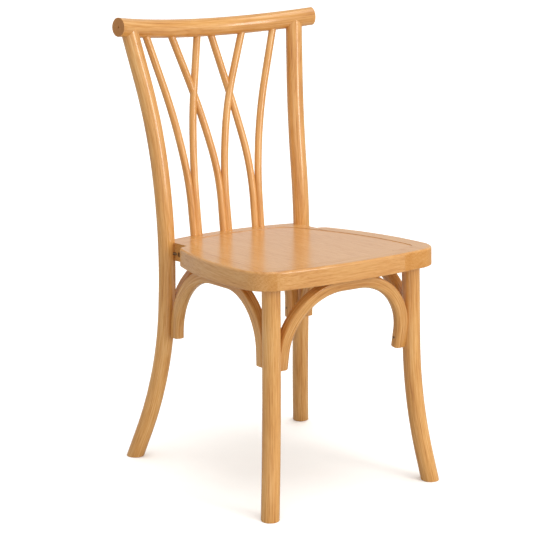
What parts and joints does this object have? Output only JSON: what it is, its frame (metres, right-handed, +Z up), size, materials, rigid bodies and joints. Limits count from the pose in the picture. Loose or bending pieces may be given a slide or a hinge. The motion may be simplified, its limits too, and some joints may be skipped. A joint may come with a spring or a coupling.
{
  "type": "dining chair",
  "caption": "Armless wooden dining chair with bent round posts, a bowed crest rail, crossing spindles, a framed wooden seat and bent arches between the legs.",
  "frame": {"origin": "on the floor under the middle of the chair's bounding box", "axes": "+Z up, the seat's front faces -Y, +X to the right as seen from the front"},
  "size_m": [0.4848, 0.5526, 0.9057],
  "materials": {
    "frame_wood": "satin clear lacquer over light honey-coloured wood",
    "spindle_wood": "satin clear lacquer over light honey-coloured wood",
    "seat_frame_wood": "satin clear lacquer over light honey-coloured wood",
    "seat_veneer": "satin clear lacquer over fine straight-grained veneer",
    "arch_wood": "satin clear lacquer over light honey-coloured wood",
    "fitting_steel": "dull zinc-coated steel"
  },
  "bodies": {
    "root": {"crest_rail": "frame_wood", "left_post": "frame_wood", "right_post": "frame_wood", "left_front_leg": "frame_wood", "right_front_leg": "frame_wood", "left_outer_spindle": "spindle_wood", "left_crossing_spindle": "spindle_wood", "left_middle_spindle": "spindle_wood", "right_middle_spindle": "spindle_wood", "right_crossing_spindle": "spindle_wood", "right_outer_spindle": "spindle_wood", "seat_front_rail": "seat_frame_wood", "seat_left_rail": "seat_frame_wood", "seat_right_rail": "seat_frame_wood", "seat_rear_rail": "seat_frame_wood", "seat_panel": "seat_veneer", "front_arch": "arch_wood", "rear_arch": "arch_wood", "left_arch": "arch_wood", "right_arch": "arch_wood", "post_bolts": "fitting_steel", "cross_dowels": "fitting_steel"}
  },
  "joints": []
}
